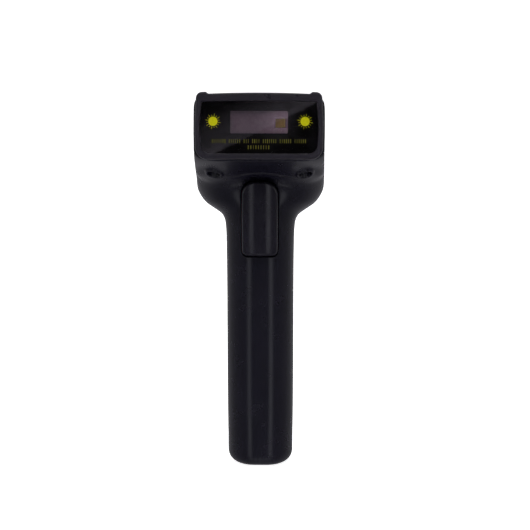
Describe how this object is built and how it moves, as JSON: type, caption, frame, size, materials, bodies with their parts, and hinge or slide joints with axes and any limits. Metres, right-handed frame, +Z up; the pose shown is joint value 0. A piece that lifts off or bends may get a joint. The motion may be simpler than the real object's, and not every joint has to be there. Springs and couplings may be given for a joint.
{
  "type": "handheld barcode scanner",
  "caption": "Cordless pistol-grip laser scanner with a wide dark window, a long trigger and a straight rounded handle.",
  "frame": {"origin": "centre of the flat base of the handle", "axes": "+Z up the handle axis; the scan window faces -Y and leans back 12 degrees; +X is across the head"},
  "size_m": [0.0632, 0.0803, 0.1928],
  "materials": {
    "housing": "satin black moulded plastic, fine texture",
    "bezel": "satin black moulded plastic",
    "window": "polished dark window",
    "window_print": "black printed film with small coloured marks",
    "foam": "closed-cell foam",
    "baffle": "matt mauve-grey",
    "lever": "satin black moulded plastic",
    "steel": "bright steel",
    "black_steel": "black oxide screws",
    "spring_steel": "spring steel strip",
    "zinc": "die-cast frame",
    "brass": "turned brass",
    "gold_mirror": "gold-coated mirror",
    "collector": "aluminised plastic",
    "lens": "clear lens",
    "magnet": "nickel-plated magnet",
    "copper": "enamelled copper winding",
    "nylon": "black nylon",
    "circuit": "green solder mask",
    "chip": "black epoxy",
    "can": "tinned shield can",
    "led": "clear epoxy",
    "light_pipe": "frosted clear acrylic",
    "cell": "shrink-wrapped steel can",
    "wire": "insulated wire",
    "flex": "amber polyimide",
    "switch_case": "black switch case",
    "plunger": "white acetal"
  },
  "bodies": {
    "scanner": {"battery_cell": "cell", "battery_contact": "spring_steel", "battery_cradle": "nylon", "battery_leads": "wire", "board_screws": "steel", "buzzer": "nylon", "charge_board": "circuit", "coil_bobbin": "nylon", "collector_mirror": "collector", "decoder_chip": "chip", "drive_coil": "copper", "engine_board": "circuit", "engine_flex": "flex", "engine_frame": "zinc", "engine_screws": "steel", "front_bezel": "bezel", "front_housing": "housing", "handle_screws": "black_steel", "head_screws": "black_steel", "laser_lens": "lens", "laser_module": "brass", "light_baffle": "baffle", "main_board": "circuit", "mirror_pivot": "steel", "photodiode": "chip", "radio_module": "can", "rear_housing": "housing", "scan_window": "window", "status_led": "led", "status_lens": "light_pipe", "switch_board": "circuit", "trigger_pin": "steel", "trigger_spring": "spring_steel", "trigger_switch": "switch_case", "usb_socket": "can", "usb_tongue": "nylon", "window_gasket": "foam", "window_mask": "window_print"},
    "trigger": {"trigger": "lever"},
    "plunger": {"switch_plunger": "plunger"},
    "mirror": {"scan_mirror": "gold_mirror", "mirror_holder": "nylon", "mirror_magnet": "magnet"}
  },
  "joints": [
    {"name": "trigger_pull", "type": "hinge", "parent": "scanner", "child": "trigger", "pos_m": [0, -0.014, 0.15], "axis": [1, 0, 0], "range_deg": [0, 4], "stiffness_Nm_per_rad": 0.6, "springref_deg": -14.32, "deforming": ["trigger_spring"]},
    {"name": "switch_press", "type": "slide", "parent": "scanner", "child": "plunger", "axis": [0, 1, 0], "range_m": [0, 0.0021]},
    {"name": "mirror_scan", "type": "hinge", "parent": "scanner", "child": "mirror", "pos_m": [0.01164, -0.03167, 0.17644], "axis": [0, 0.2079, 0.9781], "range_deg": [-12, 12], "stiffness_Nm_per_rad": 0.0004}
  ],
  "couplings": [
    {"joint": "switch_press", "follows": "trigger_pull", "m_per_rad": 0.03}
  ]
}
